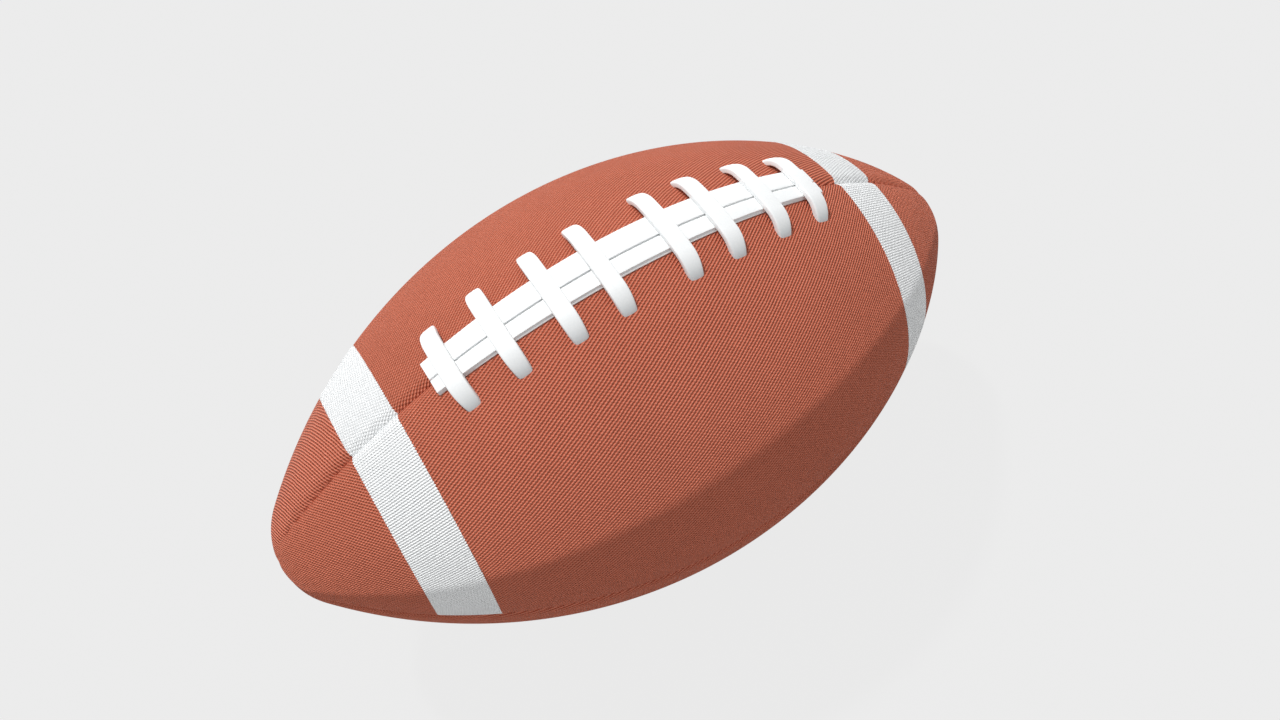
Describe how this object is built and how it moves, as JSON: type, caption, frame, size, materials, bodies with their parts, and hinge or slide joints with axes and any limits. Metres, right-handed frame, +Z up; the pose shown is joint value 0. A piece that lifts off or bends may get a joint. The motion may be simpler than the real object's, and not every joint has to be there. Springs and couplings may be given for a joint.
{
  "type": "american football",
  "caption": "Pointed oval leather ball of quarter panels with a laced slit on top, white stripes near both tips, and a valved bladder inside.",
  "frame": {"origin": "on the ground under the middle of the ball, at the lowest point of its belly", "axes": "+X along the long axis towards the right tip in the picture, +Z up through the lace seam, +Y towards the back"},
  "size_m": [0.28, 0.1518, 0.1552],
  "materials": {
    "leather": "pebbled tan leather, satin",
    "stripe_coat": "white coat over the leather's pebbles, satin",
    "lace": "soft white lace, satin",
    "lining_cloth": "natural woven cloth",
    "thread": "waxed thread",
    "facing_leather": "plain brown split leather",
    "bladder_rubber": "thin black rubber",
    "valve_rubber": "moulded dark rubber"
  },
  "bodies": {
    "root": {"panel_front_laced": "leather", "panel_back_laced": "leather", "panel_front_plain": "leather", "panel_back_plain": "leather", "stripe_left_front": "stripe_coat", "stripe_left_back": "stripe_coat", "stripe_right_front": "stripe_coat", "stripe_right_back": "stripe_coat", "lining_front_laced": "lining_cloth", "lining_back_laced": "lining_cloth", "lining_front_plain": "lining_cloth", "lining_back_plain": "lining_cloth", "thread_lace_seam": "thread", "thread_bottom_seam": "thread", "thread_front_seam": "thread", "thread_back_seam": "thread", "lace_cross_1": "lace", "lace_cross_2": "lace", "lace_cross_3": "lace", "lace_cross_4": "lace", "lace_cross_5": "lace", "lace_cross_6": "lace", "lace_cross_7": "lace", "lace_cross_8": "lace", "lace_rail_front": "lace", "lace_rail_back": "lace", "lace_return_front": "lace", "lace_return_back": "lace", "lace_facing_front": "facing_leather", "lace_facing_back": "facing_leather", "lace_guard": "facing_leather", "bladder": "bladder_rubber", "valve_patch": "bladder_rubber", "valve_body": "valve_rubber", "valve_core": "valve_rubber"}
  },
  "joints": []
}
